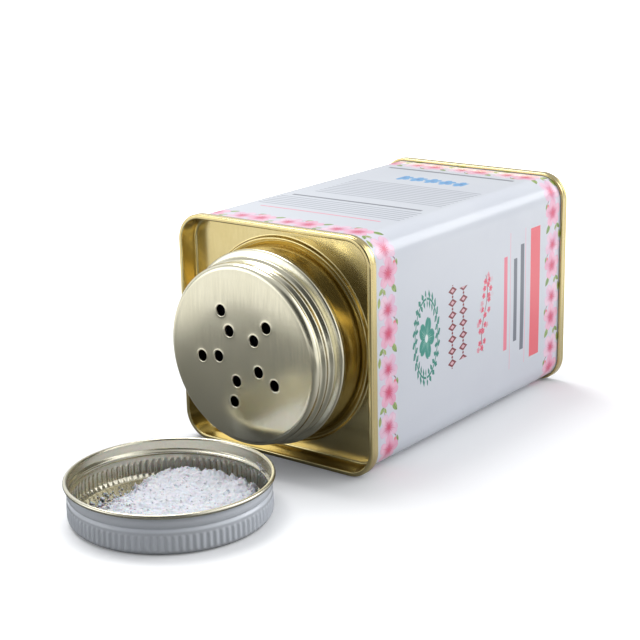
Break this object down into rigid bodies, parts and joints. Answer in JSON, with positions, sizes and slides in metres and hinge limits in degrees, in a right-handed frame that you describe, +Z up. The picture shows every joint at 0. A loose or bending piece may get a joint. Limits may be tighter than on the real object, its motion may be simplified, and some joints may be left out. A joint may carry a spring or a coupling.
{
  "type": "powder tin",
  "caption": "Square sifter-top powder tin lying on its side, with its screw lid standing open beside it holding a little white powder.",
  "frame": {"origin": "on the table under the middle of the whole set", "axes": "+Y along the can from the sifter neck to the closed end, +Z up, +X towards the label face"},
  "size_m": [0.07, 0.1872, 0.07],
  "materials": {
    "printed_body": "glossy white lacquer printed with blossom borders",
    "gold_lacquer": "satin transparent gold lacquer over tinplate",
    "pale_neck": "satin pale gold lacquer, finely grained",
    "sealant": "matt seam lining compound",
    "powder": "loose matt white powder",
    "white_lacquer": "glossy white outside, pale gold lacquer inside",
    "lid_inside": "satin pale gold lacquer"
  },
  "bodies": {
    "tin": {"body_shell": "printed_body", "top_end": "gold_lacquer", "bottom_end": "gold_lacquer", "sifter_neck": "pale_neck", "top_seam_compound": "sealant", "bottom_seam_compound": "sealant", "powder_charge": "powder"},
    "lid": {"lid_shell": "white_lacquer", "powder_heap": "powder", "powder_crumbs": "powder"}
  },
  "joints": [
    {"name": "lid_lift", "type": "slide", "parent": "tin", "child": "lid", "axis": [0, 0, 1], "range_m": [0, 0.08]}
  ]
}
